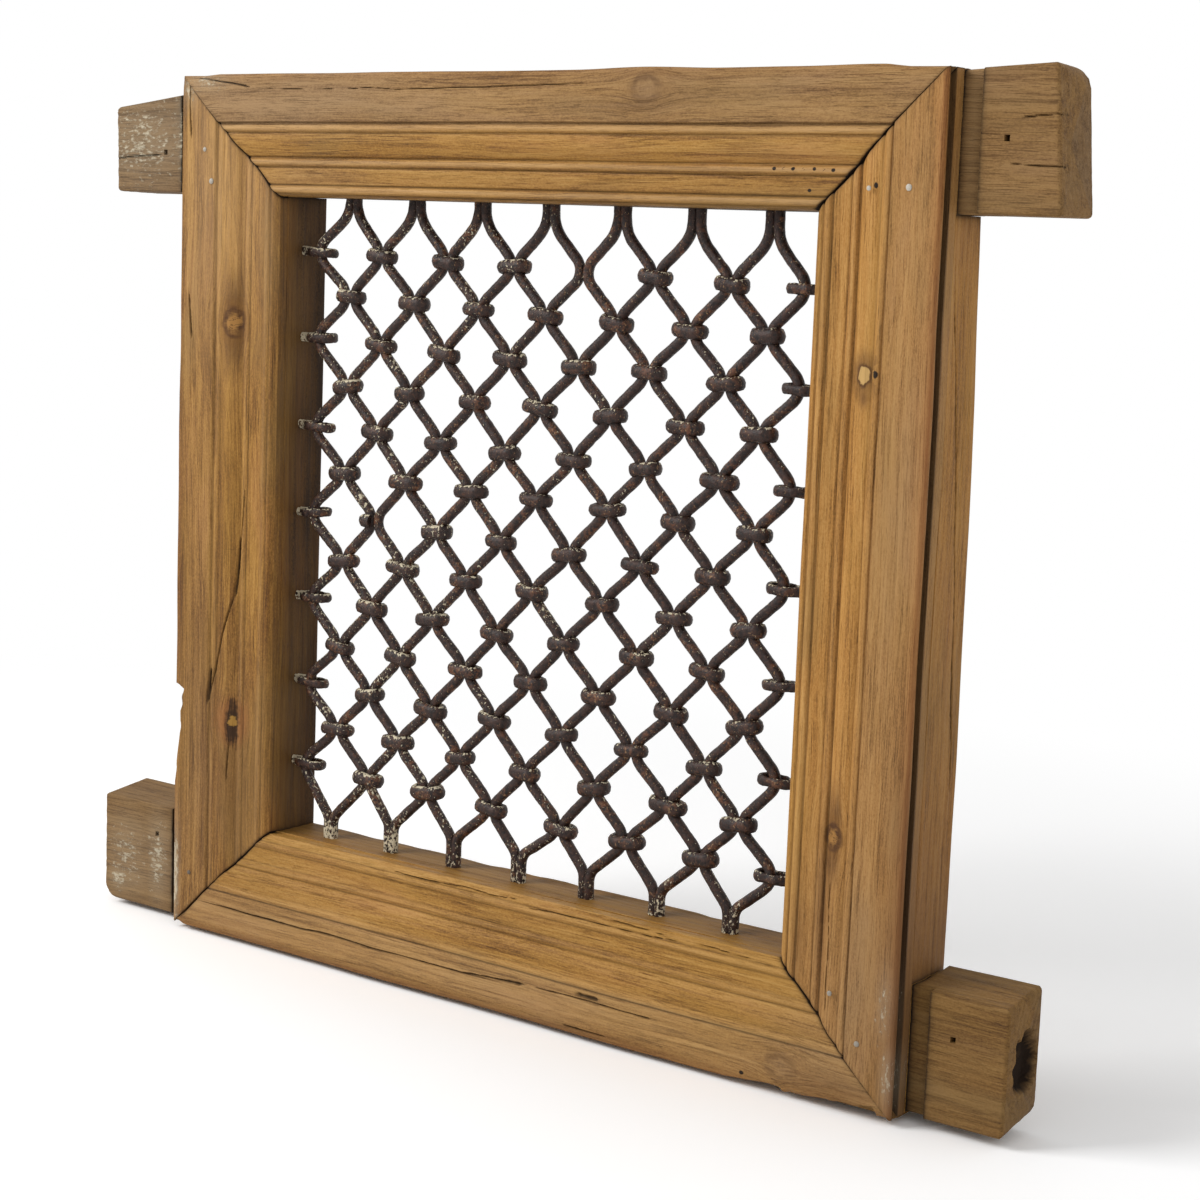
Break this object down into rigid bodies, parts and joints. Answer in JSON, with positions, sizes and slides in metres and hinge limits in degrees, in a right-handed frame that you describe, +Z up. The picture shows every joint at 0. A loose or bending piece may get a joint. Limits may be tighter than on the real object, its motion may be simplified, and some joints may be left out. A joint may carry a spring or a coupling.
{
  "type": "jali window",
  "caption": "Square teak window frame with moulded mitred face and rail horns, holding an iron lattice of bent bars clasped by forged collars.",
  "frame": {"origin": "middle of the underside of the whole window, horns counted", "axes": "+X to the window's right seen from its front, +Y from the front to the back, +Z up"},
  "size_m": [0.875, 0.062, 0.7],
  "materials": {
    "teak": "weathered, waxed",
    "iron": "rusted, with flecks of old paint",
    "nail": "dull, worn"
  },
  "bodies": {
    "root": {"head_rail": "teak", "sill_rail": "teak", "left_stile": "teak", "right_stile": "teak", "bar_01": "iron", "bar_02": "iron", "bar_03": "iron", "bar_04": "iron", "bar_05": "iron", "bar_06": "iron", "bar_07": "iron", "bar_08": "iron", "bar_09": "iron", "bar_10": "iron", "bar_11": "iron", "bar_12": "iron", "bar_13": "iron", "bar_14": "iron", "collars_row_01_left": "iron", "collars_row_01_right": "iron", "collars_row_02": "iron", "collars_row_03": "iron", "collars_row_04": "iron", "collars_row_05": "iron", "collars_row_06": "iron", "collars_row_07": "iron", "collars_row_08": "iron", "collars_row_09": "iron", "collars_row_10": "iron", "collars_row_11": "iron", "collars_row_12": "iron", "collars_row_13": "iron", "broken_collar": "iron", "left_staples": "iron", "right_staples": "iron", "corner_nails": "nail"}
  },
  "joints": []
}
